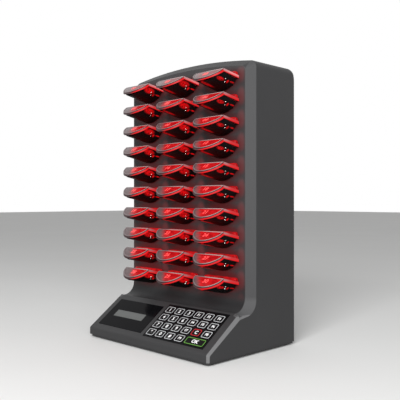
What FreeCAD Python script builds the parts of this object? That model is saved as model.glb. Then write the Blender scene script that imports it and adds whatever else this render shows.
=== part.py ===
import FreeCAD, Part
import math
import os
from FreeCAD import Vector

os.makedirs("parts", exist_ok=True)

# Whole unit. X is to the right, the front faces -Y, and the feet stand on z = 0.
width = 250.0
depth = 175.0
height = 400.0
wall = 3.0
fit_gap = 0.3
cut_over = 1.0

# Column: a front wall with bevelled edges, an arched top and a rounded rear top edge
console_reach = 79.5
bevel_width = 9.0
bevel_depth = 12.8
arch_radius = 790.0
top_corner_radius = 10.0
wall_corner_radius = 7.0
rear_round = 27.0
join_height = 110.0

# Console: the front wall bends out into a slope that ends in a blunt nose
bend_radius = 19.0
bend_ledge = 0.8
console_top = 57.3
nose_corner = 14.6
nose_round = 3.1
side_bend_radius = 20.0
side_bend_height = 55.2
side_kink_drop = 7.3
chamfer_width = 3.2
chamfer_back = 3.5
chamfer_drop = 3.6

# Rear cover: a back panel and a floor in one piece
floor_thickness = 3.0
plinth_inset = 2.5
plinth_corner = 4.0
back_top_drop = 44.0
vent_length = 62.0
vent_height = 3.0
vent_pitch = 8.0
vent_rows = 7
vent_top_drop = 41.5
vent_spacing = 84.0
bracket_spacing = 100.0
bracket_height = 190.0
bracket_hole = 4.3
bracket_boss = 11.0
bracket_boss_depth = 8.0

# Rubber feet
foot_stand = 1.5
foot_seat = 0.8
foot_diameter = 15.0
foot_side_inset = 12.0
foot_end_inset = 13.0

# Cover screws and the blocks that they bite in
screw_diameter = 3.0
screw_length = 12.0
screw_head = 6.0
screw_head_height = 1.6
screw_pilot_gap = 0.1
block_width = 13.0
block_height = 12.0
block_depth = 14.0
back_screw_share = (0.08, 0.5, 0.92)
floor_screw_reach = 55.0

# Panels in the slope, measured across X and up the slope from the nose corner line
panel_thickness = 1.5
panel_proud = 0.3
panel_lip = 1.5
window_side = 13.5
keypad_side = 15.0
panel_gap = 7.3
keypad_share = 0.5425
window_low = 10.4
window_high = 63.5
keypad_low = 7.2
keypad_high = 69.7
display_from_left = 14.7
display_from_right = 18.3
display_low = 29.9
display_high = 42.9

# Keys
key_columns = 6
key_rows = 4
key_from_left = 11.1
key_from_right = 10.3
key_from_top = 10.5
key_pitch_y = 14.6
key_gap_x = 3.96
key_gap_y = 3.0
key_corner = 2.2
key_proud = 0.7
key_flange = 0.6
key_flange_height = 1.0
key_stem = 4.0
key_travel = 0.6
key_rest_gap = 0.15

# Pagers: rows and columns that fill the front wall
pager_pitch_x = 75.5
pager_pitch_z = 30.6
pager_side_room = 19.4
pager_top_room = 22.7
pager_console_room = 44.0
ridge_reach = 26.2
pager_half = 26.6
pager_rear_half = 30.0
pager_side_radius = 11.5
nose_run = 17.5
face_drop = 12.25
rear_drop = 6.2
band_height = 4.5
nose_height = 2.7
ring_width = 2.2
cover_gap = 0.1
cover_wall = 1.5
crown_drop = 0.9
crown_shoulder = 3.0
crown_inset = 0.8
crown_run = 5.5
wall_gap = 0.4
slide_angle = 11.0
belly_inset = 1.3
belly_depth = 19.5
belly_radius = 12.5
case_wall = 1.5
tongue_width = 38.0
tongue_height = 7.0
tongue_length = 21.0
tongue_centre = 15.2
pad_width = 5.0
pad_height = 3.4
pad_thickness = 0.4
pad_spacing = 16.0
stud_diameter = 2.2
stud_proud = 0.5
stud_length = 3.0
stud_reaches = (9.0, 11.0)
stud_leans = (46.0, 37.0)
board_thickness = 1.0
led_size = 3.0
led_height = 1.2
led_spacing = 14.0
battery_width = 26.0
battery_length = 15.0
battery_height = 5.0
motor_diameter = 8.0
motor_height = 3.0

# Pockets in the front wall that hold the pagers' tongues
pocket_wall = 1.6
pin_diameter = 1.6
pin_room = 2.8

# Boards inside
circuit_thickness = 1.6
charging_width = 50.0
charging_margin = 12.0
board_margin = 2.5
board_post = 4.0
keypad_board_drop = 5.0
display_board_drop = 8.6
module_margin_x = 7.5
module_margin_y = 11.5
module_gap = 0.3
glass_drop = 0.3
main_width = 130.0
main_length = 52.0
main_lift = 6.0
main_post = 7.0
can_width = 30.0
can_length = 22.0
can_height = 4.0
aerial_diameter = 5.0
aerial_length = 110.0
inlet_size = 12.0
inlet_depth = 14.0
inlet_bore = 6.4
inlet_bore_depth = 10.0
inlet_pin = 2.0
inlet_offset = 45.0
inlet_window = 9.5

half_width = width / 2
back_top = height - back_top_drop
ridge_height = height - pager_top_room
pager_columns = 1 + int((width - 2 * (pager_side_room + pager_rear_half)) / pager_pitch_x)
pager_rows = 1 + int((ridge_height - console_top - pager_console_room) / pager_pitch_z)
keypad_width = (width - window_side - panel_gap - keypad_side) * keypad_share
keypad_right = half_width - keypad_side
keypad_left = keypad_right - keypad_width
window_left = window_side - half_width
window_right = keypad_left - panel_gap
display_left = window_left + display_from_left
display_right = window_right - display_from_right
key_pitch_x = (keypad_width - key_from_left - key_from_right) / (key_columns - 1)
key_width = key_pitch_x - key_gap_x
key_length = key_pitch_y - key_gap_y
front_y = -depth / 2
rear_y = depth / 2
wall_y = front_y + console_reach
side_y = wall_y + bevel_depth
kink_y = wall_y - bend_radius - bend_ledge
housing_bottom = foot_stand + floor_thickness
slope_angle = math.atan2(console_top - nose_corner, kink_y - front_y)
bevel_angle = math.atan2(bevel_depth, bevel_width)
ridge_y = wall_y - ridge_reach
pager_back = wall_y - wall_gap
tongue_end = wall_y + tongue_length
charging_y = tongue_end + pin_room
slide_fall = math.tan(math.radians(slide_angle))
panel_bottom = panel_proud - panel_thickness


def across(x):
    """Points given as (y, z) in the plane at that x."""
    return lambda y, z: Vector(x, y, z)


def facing(y):
    """Points given as (x, z) in the plane at that y."""
    return lambda x, z: Vector(x, y, z)


def level(z):
    """Points given as (x, y) in the plane at that z."""
    return lambda x, y: Vector(x, y, z)


def corner(before, point, after, radius):
    """Start, middle and end of the arc that rounds a corner, or the bare corner three times."""
    px, py = point
    if radius <= 0:
        return (point, point, point)
    ux, uy = before[0] - px, before[1] - py
    vx, vy = after[0] - px, after[1] - py
    ul, vl = math.hypot(ux, uy), math.hypot(vx, vy)
    ux, uy, vx, vy = ux / ul, uy / ul, vx / vl, vy / vl
    half_angle = math.acos(max(-1, min(1, ux * vx + uy * vy))) / 2
    run = radius / math.tan(half_angle)
    bx, by = ux + vx, uy + vy
    bl = math.hypot(bx, by)
    out = radius / math.sin(half_angle) - radius
    return (
        (px + ux * run, py + uy * run),
        (px + bx / bl * out, py + by / bl * out),
        (px + vx * run, py + vy * run),
    )


def outline(corners, at):
    """A closed wire through corners given as (u, v) or (u, v, radius)."""
    flat = [c[:2] for c in corners]
    count = len(corners)
    arcs = []
    for i, c in enumerate(corners):
        radius = c[2] if len(c) > 2 else 0
        arcs.append(corner(flat[i - 1], flat[i], flat[(i + 1) % count], radius))
    edges = []
    for i in range(count):
        start, middle, end = (at(*p) for p in arcs[i])
        if start != end:
            edges.append(Part.Arc(start, middle, end).toShape())
        edges.append(Part.LineSegment(end, at(*arcs[(i + 1) % count][0])).toShape())
    return Part.Wire(edges)


def prism(wire, along):
    return Part.Face(wire).extrude(along)


def ruled(first, second):
    return Part.makeLoft([first, second], True, True)


def box(x0, x1, y0, y1, z0, z1):
    return Part.makeBox(x1 - x0, y1 - y0, z1 - z0, Vector(x0, y0, z0))


def rod(diameter, length, base, along):
    return Part.makeCylinder(diameter / 2, length, base, along)


def bow_radius(half, deep, side):
    """Radius of the middle arc of a bow."""
    return ((half - side) ** 2 + deep ** 2 - side ** 2) / (2 * (deep - side))


def bow(half, deep, side, at):
    """Three arcs that run from (half, 0) round (0, deep) to (-half, 0), tangent to each other."""
    big = bow_radius(half, deep, side)
    turn = math.atan2(big - deep, half - side)
    touch = (big * math.cos(turn), deep - big + big * math.sin(turn))
    middle = (half - side + side * math.cos(turn / 2), side * math.sin(turn / 2))
    return [
        Part.Arc(at(half, 0), at(*middle), at(*touch)).toShape(),
        Part.Arc(at(*touch), at(0, deep), at(-touch[0], touch[1])).toShape(),
        Part.Arc(at(-touch[0], touch[1]), at(-middle[0], middle[1]), at(-half, 0)).toShape(),
    ]


def save(name, solids):
    """Writes one node. A list of solids stays a group of separate solids."""
    shape = solids[0] if len(solids) == 1 else Part.makeCompound(solids)
    shape.exportStep("parts/" + name + ".step")


# The housing's outer form, or its inner form a wall further in. An inset of zero is the outside.
def column_sides(inset, bottom):
    top = join_height
    rear = rear_y - inset
    bend_y = kink_y + inset * math.tan(slope_angle / 2)
    middle = [
        (rear, bottom), (rear, top), (wall_y + inset, top),
        (wall_y + inset, console_top - inset, bend_radius + inset),
        (bend_y, console_top - inset), (bend_y, bottom),
    ]
    edge_y = side_y + inset * math.tan((math.pi / 2 - bevel_angle) / 2)
    side = [
        (rear, bottom), (rear, top), (edge_y, top),
        (edge_y, side_bend_height - inset, side_bend_radius + inset),
        (bend_y, console_top - side_kink_drop - inset), (bend_y, bottom),
    ]
    edge_x = half_width - bevel_width - inset * math.tan(bevel_angle / 2)
    side_x = half_width - inset
    core = prism(outline(middle, across(-edge_x)), Vector(2 * edge_x, 0, 0))
    wings = [
        ruled(outline(middle, across(s * edge_x)), outline(side, across(s * side_x)))
        for s in (-1, 1)
    ]
    return core.fuse(wings)


def arch(half, radius, corner_radius, bottom, y):
    """A front view outline: straight sides, rounded top corners and the arched top."""
    centre = height - arch_radius
    cx = half - corner_radius
    cz = centre + math.sqrt((radius - corner_radius) ** 2 - cx ** 2)
    reach = radius / (radius - corner_radius)
    touch = (cx * reach, centre + (cz - centre) * reach)
    lean = math.atan2(cz - centre, cx) / 2
    middle = (cx + corner_radius * math.cos(lean), cz + corner_radius * math.sin(lean))
    at = facing(y)
    return Part.Wire([
        Part.LineSegment(at(-half, bottom), at(half, bottom)).toShape(),
        Part.LineSegment(at(half, bottom), at(half, cz)).toShape(),
        Part.Arc(at(half, cz), at(*middle), at(*touch)).toShape(),
        Part.Arc(at(*touch), at(0, centre + radius), at(-touch[0], touch[1])).toShape(),
        Part.Arc(at(-touch[0], touch[1]), at(-middle[0], middle[1]), at(-half, cz)).toShape(),
        Part.LineSegment(at(-half, cz), at(-half, bottom)).toShape(),
    ])


def column_top(inset):
    edge_y = side_y + inset * math.tan((math.pi / 2 - bevel_angle) / 2)
    edge_in = bevel_width + inset * math.tan(bevel_angle / 2)
    outer_corner = top_corner_radius - inset
    front = arch(half_width - edge_in, arch_radius - edge_in, wall_corner_radius, join_height, wall_y + inset)
    full = arch(half_width - inset, arch_radius - inset, outer_corner, join_height, edge_y)
    body = ruled(front, full).fuse(prism(full, Vector(0, rear_y - inset - edge_y, 0)))
    rear = rear_y - inset
    keep = outline(
        [(front_y, join_height), (rear, join_height), (rear, height - inset, rear_round - inset),
         (front_y, height - inset)],
        across(-half_width),
    )
    return body.common(prism(keep, Vector(width, 0, 0)))


def console(inset, bottom):
    bend_y = kink_y + inset * math.tan(slope_angle / 2)
    nose_z = slope_height(front_y + inset, inset)
    section = [
        (bend_y, bottom), (front_y + inset, bottom),
        (front_y + inset, nose_z, nose_round), (bend_y, console_top - inset),
    ]
    edge_x = half_width - max(chamfer_width, inset)
    core = prism(outline(section, across(-edge_x)), Vector(2 * edge_x, 0, 0))
    if inset > 0:
        return core
    side = [
        (bend_y, bottom), (front_y + chamfer_back, bottom),
        (front_y + chamfer_back, nose_corner - chamfer_drop / 2, nose_round),
        (bend_y, console_top - side_kink_drop),
    ]
    wings = [
        ruled(outline(section, across(s * edge_x)), outline(side, across(s * half_width)))
        for s in (-1, 1)
    ]
    return core.fuse(wings)


def slope_height(y, inset):
    """Height of the slope, or of the face a wall under it, at that y."""
    return nose_corner + (y - front_y) * math.tan(slope_angle) - inset / math.cos(slope_angle)


def body_form(inset, bottom):
    form = column_sides(inset, bottom).fuse([column_top(inset), console(inset, bottom)])
    return form.removeSplitter()


def on_slope(shape):
    """Takes a shape from the flat (x, up the slope, outwards) to its place on the console."""
    placed = shape.copy()
    placed.rotate(Vector(0, 0, 0), Vector(1, 0, 0), math.degrees(slope_angle))
    placed.translate(Vector(0, front_y, nose_corner))
    return placed


window_edges = (window_left, window_right, window_low, window_high)
keypad_edges = (keypad_left, keypad_right, keypad_low, keypad_high)


def grown(edges, margin):
    return (edges[0] - margin, edges[1] + margin, edges[2] - margin, edges[3] + margin)


# Places of the pagers, keys, screws and feet
def pager_places():
    for row in range(pager_rows):
        for column in range(pager_columns):
            x = (column - (pager_columns - 1) / 2) * pager_pitch_x
            yield x, ridge_height - row * pager_pitch_z


def key_places():
    """Centre and width of each key. The last two places of the front row hold one wide key."""
    for row in range(key_rows):
        y = keypad_high - key_from_top - row * key_pitch_y
        xs = [keypad_left + key_from_left + column * key_pitch_x for column in range(key_columns)]
        if row < key_rows - 1:
            yield from ((x, y, key_width) for x in xs)
        else:
            yield from ((x, y, key_width) for x in xs[:-2])
            yield (xs[-2] + xs[-1]) / 2, y, key_width + key_pitch_x


block_x = half_width - wall - block_width / 2
back_screw_z = [housing_bottom + (back_top - housing_bottom) * share for share in back_screw_share]
back_screws = [(side * block_x, z) for side in (-1, 1) for z in back_screw_z]
floor_screws = [(side * block_x, end * floor_screw_reach) for side in (-1, 1) for end in (-1, 1)]
foot_places = [
    (side * (half_width - foot_side_inset), end * (depth / 2 - foot_end_inset))
    for side in (-1, 1) for end in (-1, 1)
]


# Pockets: square tubes behind the front wall, slanted as the pagers slide
def slanted(width_x, height_z, y0, y1, grow):
    """A bar along the slide, from y0 to y1, that holds the tongue with that much to spare."""
    half_high = height_z / 2 / math.cos(math.radians(slide_angle)) + grow

    def centre(y):
        return -tongue_centre - (y - wall_y) * slide_fall

    corners = [
        (y0, centre(y0) - half_high), (y1, centre(y1) - half_high),
        (y1, centre(y1) + half_high), (y0, centre(y0) + half_high),
    ]
    half = width_x / 2 + grow
    return prism(outline(corners, across(-half)), Vector(2 * half, 0, 0))


def front_housing():
    outside = body_form(0, housing_bottom)
    inside = body_form(wall, housing_bottom - cut_over)
    shell = outside.cut([inside, box(
        wall - half_width, half_width - wall, rear_y - wall - cut_over, rear_y + cut_over,
        housing_bottom - cut_over, back_top,
    )])
    tube = slanted(tongue_width, tongue_height, wall_y + wall / 2, charging_y, fit_gap + pocket_wall)
    hole = slanted(tongue_width, tongue_height, wall_y - cut_over, charging_y + cut_over, fit_gap)
    tubes = [tube.translated(Vector(x, 0, z)) for x, z in pager_places()]
    holes = [hole.translated(Vector(x, 0, z)) for x, z in pager_places()]
    blocks = []
    block_end = rear_y - wall
    for x, z in back_screws:
        blocks.append(box(
            x - block_width / 2, x + block_width / 2, block_end - block_depth, block_end,
            z - block_height / 2, z + block_height / 2,
        ))
        holes.append(rod(
            screw_diameter + 2 * screw_pilot_gap, screw_length, Vector(x, block_end - screw_length, z),
            Vector(0, 1, 0),
        ))
    for x, y in floor_screws:
        blocks.append(box(
            x - block_width / 2, x + block_width / 2, y - block_height / 2, y + block_height / 2,
            housing_bottom, housing_bottom + block_depth,
        ))
        holes.append(rod(
            screw_diameter + 2 * screw_pilot_gap, screw_length, Vector(x, y, housing_bottom),
            Vector(0, 0, 1),
        ))
    posts = []
    for edges, drop in ((window_edges, display_board_drop), (keypad_edges, keypad_board_drop)):
        holes.append(on_slope(box(*grown(edges, fit_gap), panel_bottom, panel_proud + cut_over)))
        holes.append(on_slope(box(*grown(edges, -panel_lip), -wall - cut_over, cut_over)))
        for x in edges[:2]:
            for y in edges[2:]:
                posts.append(on_slope(rod(
                    board_post, drop - (wall - panel_bottom) / 2, Vector(x, y, -drop), Vector(0, 0, 1),
                )))
    return shell.fuse(tubes + blocks).cut(holes).fuse(posts).removeSplitter()


# Rear cover
def rear_cover():
    back = box(
        fit_gap + wall - half_width, half_width - wall - fit_gap, rear_y - wall, rear_y,
        foot_stand, back_top - fit_gap,
    )
    edge_x = half_width - plinth_inset
    floor = prism(outline([
        (-edge_x, front_y + plinth_inset, plinth_corner), (edge_x, front_y + plinth_inset, plinth_corner),
        (edge_x, rear_y), (-edge_x, rear_y),
    ], level(foot_stand)), Vector(0, 0, floor_thickness))
    adds = []
    cuts = []
    for x in (-bracket_spacing / 2, bracket_spacing / 2):
        for z in (bracket_height - bracket_spacing / 2, bracket_height + bracket_spacing / 2):
            start = rear_y - wall - bracket_boss_depth
            adds.append(rod(
                bracket_boss, bracket_boss_depth + wall / 2, Vector(x, start, z), Vector(0, 1, 0),
            ))
            cuts.append(rod(
                bracket_hole, bracket_boss_depth + wall + 2 * cut_over, Vector(x, start - cut_over, z),
                Vector(0, 1, 0),
            ))
    for x, y in main_corners():
        adds.append(rod(
            main_post, main_lift + floor_thickness / 2, Vector(x, y, housing_bottom - floor_thickness / 2),
            Vector(0, 0, 1),
        ))
    for side in (-1, 1):
        for row in range(vent_rows):
            left = (side * vent_spacing - vent_length) / 2
            low = back_top - vent_top_drop - row * vent_pitch
            right, high = left + vent_length, low + vent_height
            ends = (vent_height - fit_gap) / 2
            cuts.append(prism(outline(
                [(left, low, ends), (right, low, ends), (right, high, ends), (left, high, ends)],
                facing(rear_y - wall - cut_over),
            ), Vector(0, wall + 2 * cut_over, 0)))
    cuts.append(rod(
        inlet_window, wall + 2 * cut_over, Vector(inlet_offset, rear_y - wall - cut_over, inlet_centre()),
        Vector(0, 1, 0),
    ))
    for x, z in back_screws:
        cuts += screw_cuts(Vector(x, rear_y, z), Vector(0, -1, 0))
    for x, y in floor_screws:
        cuts += screw_cuts(Vector(x, y, foot_stand), Vector(0, 0, 1))
    for x, y in foot_places:
        cuts.append(rod(foot_diameter + fit_gap, foot_seat, Vector(x, y, foot_stand), Vector(0, 0, 1)))
    return back.fuse([floor] + adds).cut(cuts).removeSplitter()


def screw_cuts(base, inward):
    """The counterbore and the through hole of a cover screw, from the outer face inwards."""
    return [
        rod(screw_head + 2 * fit_gap, screw_head_height + screw_pilot_gap, base, inward),
        rod(screw_diameter + 2 * screw_pilot_gap, wall + cut_over, base, inward),
    ]


def screw(base, inward):
    head = rod(screw_head, screw_head_height, base + inward * screw_pilot_gap, inward)
    shank = rod(screw_diameter, screw_length, base + inward * screw_pilot_gap, inward)
    return head.fuse(shank).removeSplitter()


def cover_screws():
    out = [screw(Vector(x, rear_y, z), Vector(0, -1, 0)) for x, z in back_screws]
    return out + [screw(Vector(x, y, foot_stand), Vector(0, 0, 1)) for x, y in floor_screws]


def rubber_feet():
    up = Vector(0, 0, 1)
    return [rod(foot_diameter, foot_stand + foot_seat, Vector(x, y, 0), up) for x, y in foot_places]


# Panels and keys in the slope
def rounded_plate(x, y, size_x, size_y, radius, z0, z1):
    wire = outline([
        (x - size_x / 2, y - size_y / 2, radius), (x + size_x / 2, y - size_y / 2, radius),
        (x + size_x / 2, y + size_y / 2, radius), (x - size_x / 2, y + size_y / 2, radius),
    ], level(z0))
    return prism(wire, Vector(0, 0, z1 - z0))


def display_window():
    plate = box(*window_edges, panel_bottom, panel_proud)
    opening = box(
        display_left, display_right, display_low, display_high,
        panel_bottom - cut_over, panel_proud + cut_over,
    )
    return on_slope(plate.cut(opening))


def keypad_bezel():
    plate = box(*keypad_edges, panel_bottom, panel_proud)
    openings = [
        rounded_plate(
            x, y, size_x + 2 * fit_gap, key_length + 2 * fit_gap, key_corner + fit_gap,
            panel_bottom - cut_over, panel_proud + cut_over,
        )
        for x, y, size_x in key_places()
    ]
    return on_slope(plate.cut(openings))


def key_cap(x, y, size_x):
    """A cap through the panel, a flange that holds it in, and a stem over its switch."""
    shelf = panel_bottom - fit_gap
    cap = rounded_plate(x, y, size_x, key_length, key_corner, shelf, panel_proud + key_proud)
    flange = rounded_plate(
        x, y, size_x + 2 * key_flange, key_length + 2 * key_flange, key_corner + key_flange,
        shelf - key_flange_height, shelf,
    )
    foot = key_travel + key_rest_gap - keypad_board_drop
    stem = rod(key_stem, shelf - foot, Vector(x, y, foot), Vector(0, 0, 1))
    return on_slope(cap.fuse([flange, stem]).removeSplitter())


# Pager, with the middle of its ridge at x = 0, z = 0
def plan(inset, low, high):
    """The pager's outline from above, a distance inside its edge, as an upright bar."""
    at = level(low)
    nose = bow(
        pager_half - inset, nose_run - inset, pager_side_radius - inset,
        lambda x, y: at(x, ridge_y - y),
    )
    half = pager_rear_half - inset
    back = pager_back - inset
    corners = [
        at(-(pager_half - inset), ridge_y), at(-half, back), at(half, back), at(pager_half - inset, ridge_y),
    ]
    sides = [Part.LineSegment(a, b).toShape() for a, b in zip(corners, corners[1:])]
    return prism(Part.Wire(nose + sides), Vector(0, 0, high - low))


def top_slab(lower_by, deeper_by):
    """The slab between the top faces and the belly, seen from the side, as a bar along X."""
    band_low = band_height + deeper_by
    corners = [
        (ridge_y, -lower_by), (ridge_y - nose_run, -face_drop - lower_by),
        (ridge_y - nose_run, -face_drop - nose_height - deeper_by), (ridge_y, -band_low),
        (pager_back, -rear_drop - band_low), (pager_back, -rear_drop - lower_by),
    ]
    return prism(outline(corners, across(-half_width)), Vector(width, 0, 0))


def below_band():
    """Everything under the light ring, seen from the side, as a bar along X."""
    deep = -face_drop - nose_height - belly_depth
    corners = [
        (ridge_y - nose_run, -face_drop - nose_height), (ridge_y, -band_height),
        (pager_back, -rear_drop - band_height), (pager_back, deep), (ridge_y - nose_run, deep),
    ]
    return prism(outline(corners, across(-half_width)), Vector(width, 0, 0))


def crown():
    """A bar along the wall that stands up from the falling back nearly to the ridge's height."""
    half = pager_rear_half - crown_inset
    low = -rear_drop - band_height / 2
    section = outline([
        (-half, low), (half, low),
        (half, -crown_drop, crown_shoulder), (-half, -crown_drop, crown_shoulder),
    ], facing(pager_back - crown_inset - crown_run))
    return prism(section, Vector(0, crown_run, 0))


def belly_half(y):
    """Half the belly's width there. It widens towards the wall with the rim."""
    share = (y - ridge_y) / (pager_back - ridge_y)
    return pager_half + (pager_rear_half - pager_half) * share - belly_inset


def belly(inset):
    """The boat-shaped bottom, which keeps its depth along the slide."""
    def section(y):
        half = belly_half(y) - inset
        top = -(y - ridge_y) * slide_fall

        def at(x, deep):
            return Vector(x, y, top - deep)

        rim = Part.LineSegment(at(-half, 0), at(half, 0)).toShape()
        return Part.Wire(bow(half, belly_depth - inset, belly_radius - inset, at) + [rim])

    return ruled(section(ridge_y - nose_run), section(pager_back - inset))


def pager():
    low = -belly_depth - rear_drop - nose_run
    high = belly_depth
    slab = top_slab(0, 0)
    inner = plan(ring_width + cover_gap, low, high)
    ring = slab.common(plan(0, low, high)).cut(plan(ring_width, low, high))
    hollow = top_slab(cover_wall, cut_over).common(plan(ring_width + cover_gap + cover_wall, low, high))
    under = below_band()
    outer = slab.cut(inner)
    raised = crown().cut([outer, outer.translated(Vector(0, 0, cover_gap))])
    cover = slab.common(inner).fuse(raised).cut([hollow, under])

    body = belly(0).common(plan(belly_inset, low, high)).common(under)
    room = belly(case_wall).common(plan(belly_inset + case_wall, low, high))
    tongue = slanted(tongue_width, tongue_height, pager_back - case_wall, tongue_end, 0)
    duct = slanted(
        tongue_width, tongue_height, pager_back - case_wall - cut_over, tongue_end - case_wall, -case_wall,
    )
    case = body.cut(room).fuse(tongue).cut(duct)

    studs = []
    for reach, lean in zip(stud_reaches, stud_leans):
        y = ridge_y + reach
        big = bow_radius(belly_half(y), belly_depth, belly_radius)
        hub = Vector(0, y, big - belly_depth - reach * slide_fall)
        out = Vector(math.sin(math.radians(lean)), 0, -math.cos(math.radians(lean)))
        studs.append(rod(stud_diameter, stud_length, hub + out * (big + stud_proud - stud_length), out))
    case = case.cut(studs)

    end_z = -tongue_centre - (tongue_end - wall_y) * slide_fall
    pads = [
        box(
            side * pad_spacing / 2 - pad_width / 2, side * pad_spacing / 2 + pad_width / 2,
            tongue_end, tongue_end + pad_thickness, end_z - pad_height / 2, end_z + pad_height / 2,
        )
        for side in (-1, 1)
    ]
    return [cover, ring, case] + studs + pads + pager_insides()


def pager_insides():
    """The board under the band, with its lights, and the battery and motor under the board."""
    fall = math.degrees(math.atan2(rear_drop, pager_back - ridge_y))
    edge = belly_inset + case_wall + fit_gap
    half = pager_half - edge
    back = pager_back - ridge_y - edge - case_wall
    top = -fit_gap
    board = box(-half, half, 0, back, top - board_thickness, top)
    lights = [
        box(
            x - led_size / 2, x + led_size / 2, led_size, 2 * led_size, top - board_thickness / 2,
            top + led_height,
        )
        for x in (-led_spacing, 0, led_spacing)
    ]
    board = board.fuse(lights)
    under = top - board_thickness
    battery = box(
        -battery_width / 2, battery_width / 2, back - battery_length - fit_gap, back - fit_gap,
        under - battery_height, under,
    )
    motor = rod(
        motor_diameter, motor_height, Vector(0, motor_diameter / 2, under - motor_height), Vector(0, 0, 1),
    )
    parts = []
    for piece in (board, battery, motor):
        piece = piece.copy()
        piece.rotate(Vector(0, 0, 0), Vector(1, 0, 0), -fall)
        piece.translate(Vector(0, ridge_y, -band_height))
        parts.append(piece)
    return parts


# Boards inside the housing
def main_corners():
    x = (main_width - main_post) / 2
    y1 = rear_y - wall - fit_gap - main_post / 2
    y0 = y1 - main_length + main_post
    return [(sx * x, y) for sx in (-1, 1) for y in (y0, y1)]


def inlet_centre():
    return housing_bottom + main_lift + circuit_thickness + inlet_size / 2


def circuit_boards():
    out = []
    end_z = -tongue_centre - (charging_y - wall_y) * slide_fall
    high = ridge_height + end_z + charging_margin
    low = ridge_height - (pager_rows - 1) * pager_pitch_z + end_z - charging_margin
    for column in range(pager_columns):
        x = (column - (pager_columns - 1) / 2) * pager_pitch_x
        out.append(box(
            x - charging_width / 2, x + charging_width / 2,
            charging_y, charging_y + circuit_thickness, low, high,
        ))
    pin_length = pin_room - pad_thickness - fit_gap
    pin_z = -tongue_centre - (tongue_end - wall_y) * slide_fall
    for x, z in pager_places():
        for side in (-1, 1):
            start = Vector(x + side * pad_spacing / 2, charging_y - pin_length, z + pin_z)
            out.append(rod(pin_diameter, pin_length, start, Vector(0, 1, 0)))
    for edges, drop in ((window_edges, display_board_drop), (keypad_edges, keypad_board_drop)):
        out.append(on_slope(box(*grown(edges, board_margin), -drop - circuit_thickness, -drop)))
    module = box(
        display_left - module_margin_x, display_right + module_margin_x,
        display_low - module_margin_y, display_high + module_margin_y,
        -display_board_drop, panel_bottom - module_gap,
    )
    glass = box(
        display_left + fit_gap, display_right - fit_gap, display_low + fit_gap, display_high - fit_gap,
        panel_bottom - module_gap, panel_proud - glass_drop,
    )
    out += [on_slope(module), on_slope(glass)]

    deck = housing_bottom + main_lift
    top = deck + circuit_thickness
    back = rear_y - wall - fit_gap
    out.append(box(-main_width / 2, main_width / 2, back - main_length, back, deck, top))
    out.append(box(
        -can_width / 2, can_width / 2, back - main_length / 2 - can_length, back - main_length / 2, top,
        top + can_height,
    ))
    out.append(rod(
        aerial_diameter, aerial_length, Vector(-inlet_offset, back - main_length / 2, top), Vector(0, 0, 1),
    ))
    centre = Vector(inlet_offset, back, inlet_centre())
    inlet = box(
        inlet_offset - inlet_size / 2, inlet_offset + inlet_size / 2, back - inlet_depth, back,
        top, top + inlet_size,
    )
    inlet = inlet.cut(rod(inlet_bore, inlet_bore_depth, centre, Vector(0, -1, 0)))
    pin = rod(
        inlet_pin, inlet_bore_depth - inlet_pin / 2, centre - Vector(0, inlet_bore_depth, 0), Vector(0, 1, 0),
    )
    out.append(inlet.fuse(pin))
    return out


save("front_housing", [front_housing()])
save("rear_cover", [rear_cover()])
save("display_window", [display_window()])
save("keypad_bezel", [keypad_bezel()])
save("circuit_boards", circuit_boards())
save("rubber_feet", rubber_feet())
save("cover_screws", cover_screws())
for number, (x, y, size_x) in enumerate(key_places(), 1):
    save("key_%02d" % number, [key_cap(x, y, size_x)])
pieces = pager()
for number, (x, z) in enumerate(pager_places(), 1):
    save("pager_%02d" % number, [piece.translated(Vector(x, 0, z)) for piece in pieces])
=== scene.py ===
import math

import bmesh
import bpy
from mathutils import Matrix, Vector


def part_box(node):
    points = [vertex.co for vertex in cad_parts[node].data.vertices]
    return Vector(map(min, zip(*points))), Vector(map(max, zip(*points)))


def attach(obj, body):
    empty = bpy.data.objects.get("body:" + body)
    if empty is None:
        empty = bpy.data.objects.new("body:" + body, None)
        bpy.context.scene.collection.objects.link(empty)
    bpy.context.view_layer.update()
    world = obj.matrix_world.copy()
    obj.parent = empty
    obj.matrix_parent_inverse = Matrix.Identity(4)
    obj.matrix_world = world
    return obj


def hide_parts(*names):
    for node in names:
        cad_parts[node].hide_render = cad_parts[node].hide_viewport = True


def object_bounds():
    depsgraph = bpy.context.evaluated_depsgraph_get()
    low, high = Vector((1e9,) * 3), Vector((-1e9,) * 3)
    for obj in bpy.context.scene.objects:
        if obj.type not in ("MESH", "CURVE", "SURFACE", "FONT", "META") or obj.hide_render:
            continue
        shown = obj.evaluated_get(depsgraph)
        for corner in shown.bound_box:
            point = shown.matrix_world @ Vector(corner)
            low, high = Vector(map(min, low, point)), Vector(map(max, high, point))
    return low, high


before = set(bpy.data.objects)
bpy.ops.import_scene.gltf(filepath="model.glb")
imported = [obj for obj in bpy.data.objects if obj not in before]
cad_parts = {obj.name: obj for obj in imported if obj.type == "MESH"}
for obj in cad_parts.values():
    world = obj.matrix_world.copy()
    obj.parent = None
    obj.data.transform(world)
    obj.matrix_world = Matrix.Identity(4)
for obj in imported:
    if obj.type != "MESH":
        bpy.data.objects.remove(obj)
cad_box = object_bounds()
mm = 0.001

# The studio: a plain pale floor, a white surround and two large soft lamps. The camera stands
# level with the middle rows of pagers, off the front right corner of the unit.
camera_place = Vector((658.6, -634.7, 204.8)) * mm
camera_turn = math.radians(45)
camera_lens = 56.34
floor_reach = 9.0
surround_level = 0.36
lamp_aim = Vector((0, 0, 0.2))
lamps = (
    ("key_lamp", (0.8, -1.45, 1.0), (0.9, 0.9), 36),
    ("edge_lamp", (1.5, -0.8, 0.55), (0.4, 1.0), 8),
)


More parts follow.
